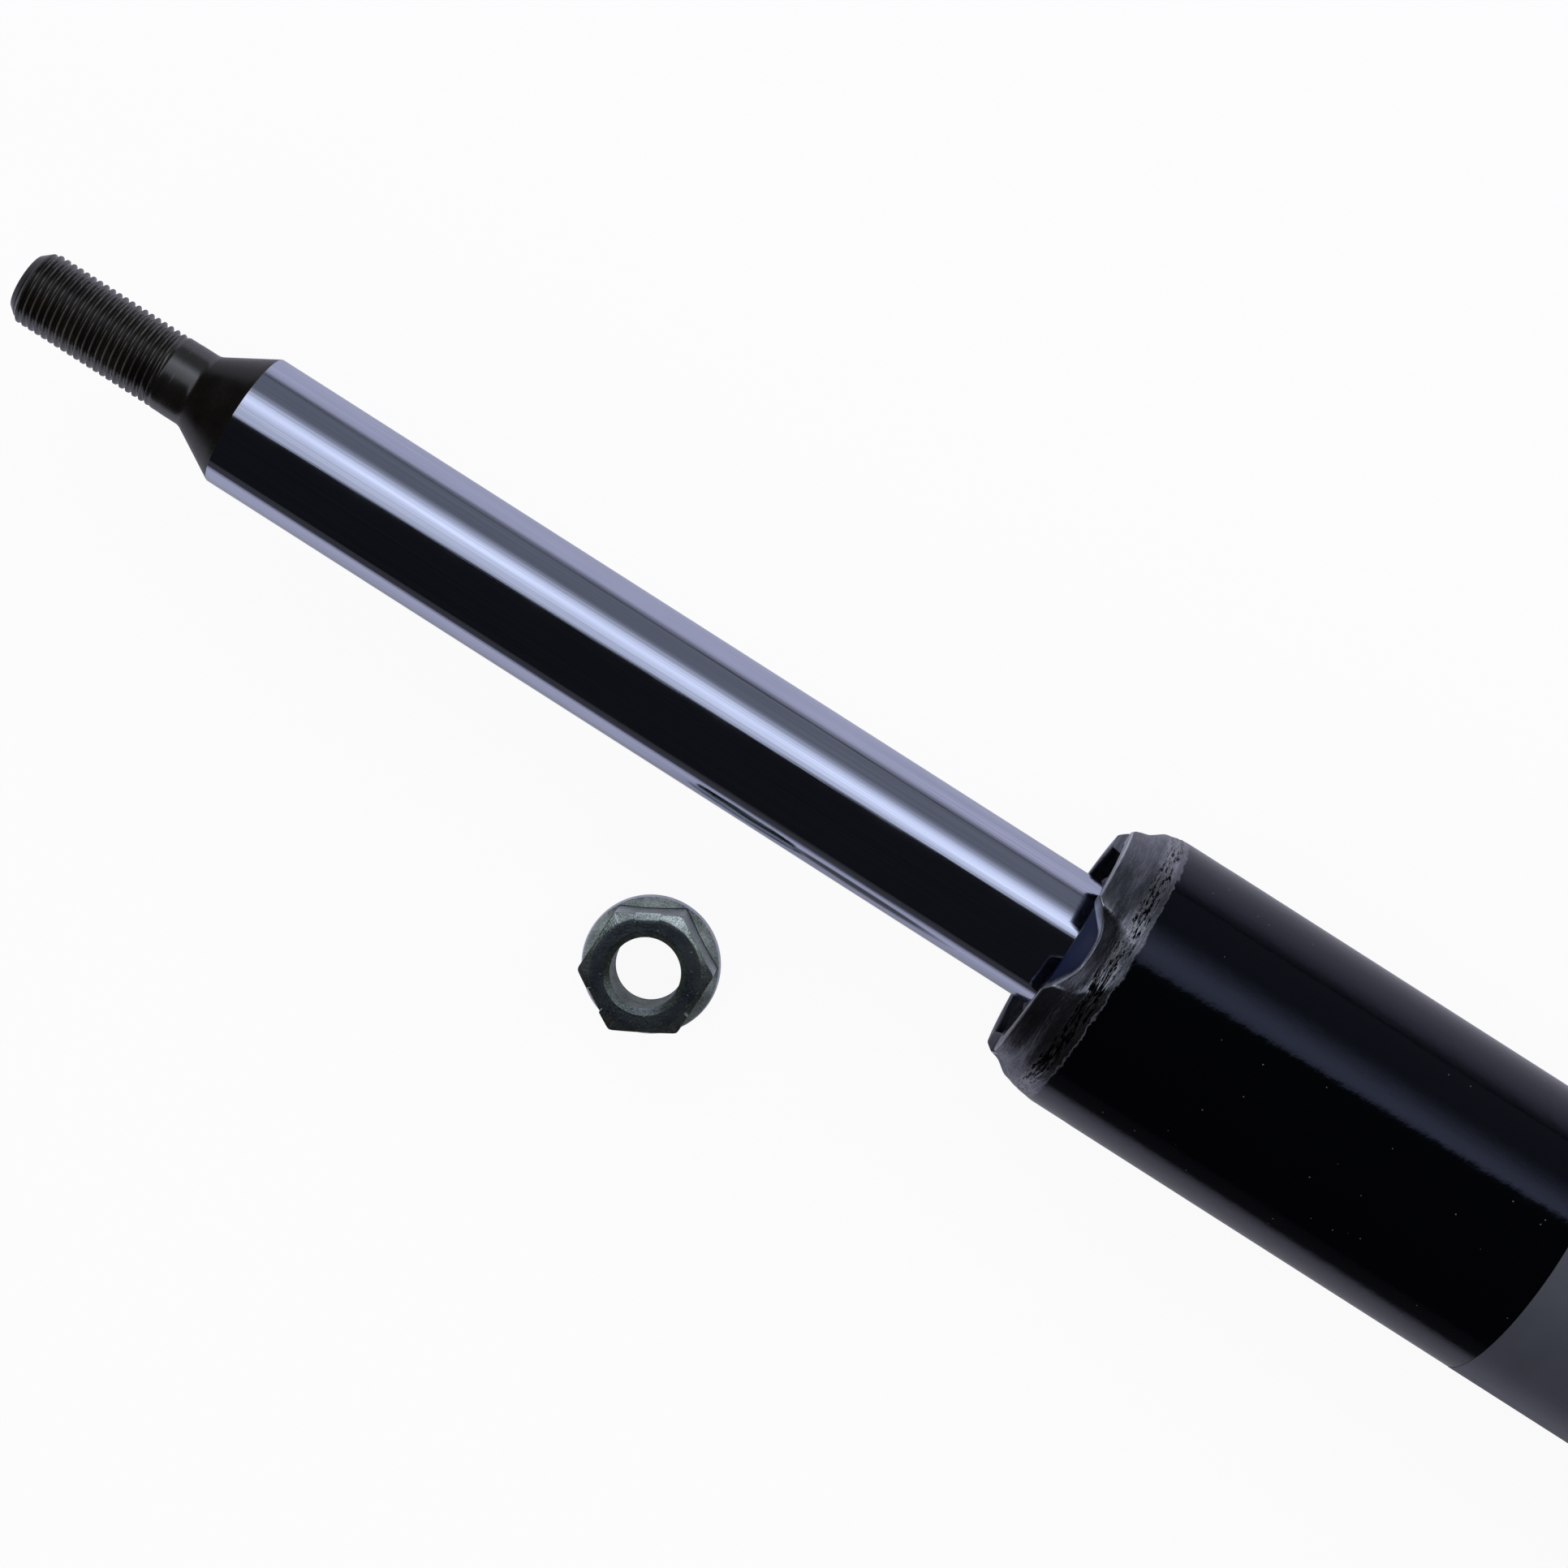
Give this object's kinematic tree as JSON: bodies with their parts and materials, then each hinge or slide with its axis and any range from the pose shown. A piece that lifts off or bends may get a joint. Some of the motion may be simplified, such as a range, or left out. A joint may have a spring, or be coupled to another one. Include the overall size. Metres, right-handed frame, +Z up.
{
  "type": "suspension strut",
  "caption": "Gas-charged twin-tube suspension strut with a threaded stud on its chromed rod, a crimped tube neck, a knuckle bracket and a separate flange lock nut.",
  "frame": {"origin": "on the strut's axis where the straight threaded stud begins, above the fillet of its shoulder", "axes": "+X along the strut's axis and out of the stud; +Z up as the strut lies on a flat surface; the knuckle bracket's ears point to -Y"},
  "size_m": [0.5728, 0.1402, 0.074],
  "materials": {
    "black_enamel": "gloss",
    "hard_chrome": "polished",
    "phosphate": "dark phosphated, satin",
    "navy_rubber": "satin",
    "black_rubber": "matte",
    "bright_steel": "machined",
    "spring_steel": "blued",
    "sintered_iron": "matte",
    "bronze": "satin",
    "cushion_plastic": "matte",
    "band_plastic": "matte"
  },
  "bodies": {
    "cylinder": {"reservoir_tube": "black_enamel", "bottom_cap": "black_enamel", "base_weld": "black_enamel", "pressure_tube": "bright_steel", "rod_guide": "sintered_iron", "guide_bushing": "bronze", "guide_o_ring": "black_rubber", "rod_seal": "navy_rubber", "seal_insert": "bright_steel", "garter_spring": "spring_steel", "base_valve_body": "sintered_iron", "base_valve_bolt": "bright_steel", "base_shims": "spring_steel", "base_check_spring": "spring_steel", "knuckle_bracket": "black_enamel", "bracket_channel": "black_enamel", "bracket_welds": "black_enamel", "hose_bracket": "black_enamel", "hose_bracket_weld": "black_enamel"},
    "base_check": {"base_check_plate": "spring_steel"},
    "band": {"piston_band": "band_plastic"},
    "rod": {"piston_rod": "hard_chrome", "rebound_cushion": "cushion_plastic", "rebound_stop_ring": "bright_steel", "piston_support": "bright_steel", "piston_check_spring": "spring_steel", "piston_body": "sintered_iron", "rebound_shims": "spring_steel", "shim_backing": "bright_steel", "piston_nut": "bright_steel"},
    "piston_check": {"piston_check_plate": "spring_steel"},
    "nut": {"top_nut": "phosphate"}
  },
  "joints": [
    {"name": "rod_stroke", "type": "slide", "parent": "cylinder", "child": "band", "axis": [1, 0, 0], "range_m": [-0.17, 0], "stiffness_N_per_m": 150, "springref_m": 0.8},
    {"name": "rod_turn", "type": "hinge", "parent": "band", "child": "rod", "pos_m": [0, 0, 0], "axis": [1, 0, 0], "continuous": true},
    {"name": "piston_check_lift", "type": "slide", "parent": "rod", "child": "piston_check", "axis": [1, 0, 0], "range_m": [0, 0.0008], "stiffness_N_per_m": 300},
    {"name": "base_check_lift", "type": "slide", "parent": "cylinder", "child": "base_check", "axis": [1, 0, 0], "range_m": [0, 0.0008], "stiffness_N_per_m": 300},
    {"name": "nut_lift", "type": "slide", "parent": "cylinder", "child": "nut", "axis": [0, 0, 1], "range_m": [0, 0.12]}
  ]
}
